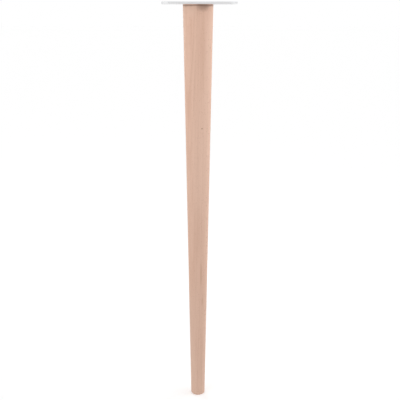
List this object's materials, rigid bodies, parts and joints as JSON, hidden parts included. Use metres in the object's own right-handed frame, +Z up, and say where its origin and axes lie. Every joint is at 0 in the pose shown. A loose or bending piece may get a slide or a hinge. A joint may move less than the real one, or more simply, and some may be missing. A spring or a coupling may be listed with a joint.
{
  "type": "furniture leg",
  "caption": "Round tapered wooden furniture leg with a flat square steel mounting plate on top, screwed to the underside of a table or cabinet.",
  "frame": {"origin": "centre of the plate's top face, which lies against the furniture", "axes": "+Z up the leg's axis into the furniture, +X and +Y square to the plate's sides"},
  "size_m": [0.12, 0.12, 0.71],
  "materials": {
    "beech": "fine-sanded turned beech under a thin matt clear coat, pale pinkish tan",
    "plate_zinc": "bright zinc plating on rolled steel sheet, satin, slightly bluish",
    "fixing_zinc": "bright zinc plating on machined steel, satin"
  },
  "bodies": {
    "root": {"tapered_leg": "beech", "mounting_plate": "plate_zinc", "weld_nut": "fixing_zinc", "hanger_bolt": "fixing_zinc"}
  },
  "joints": []
}
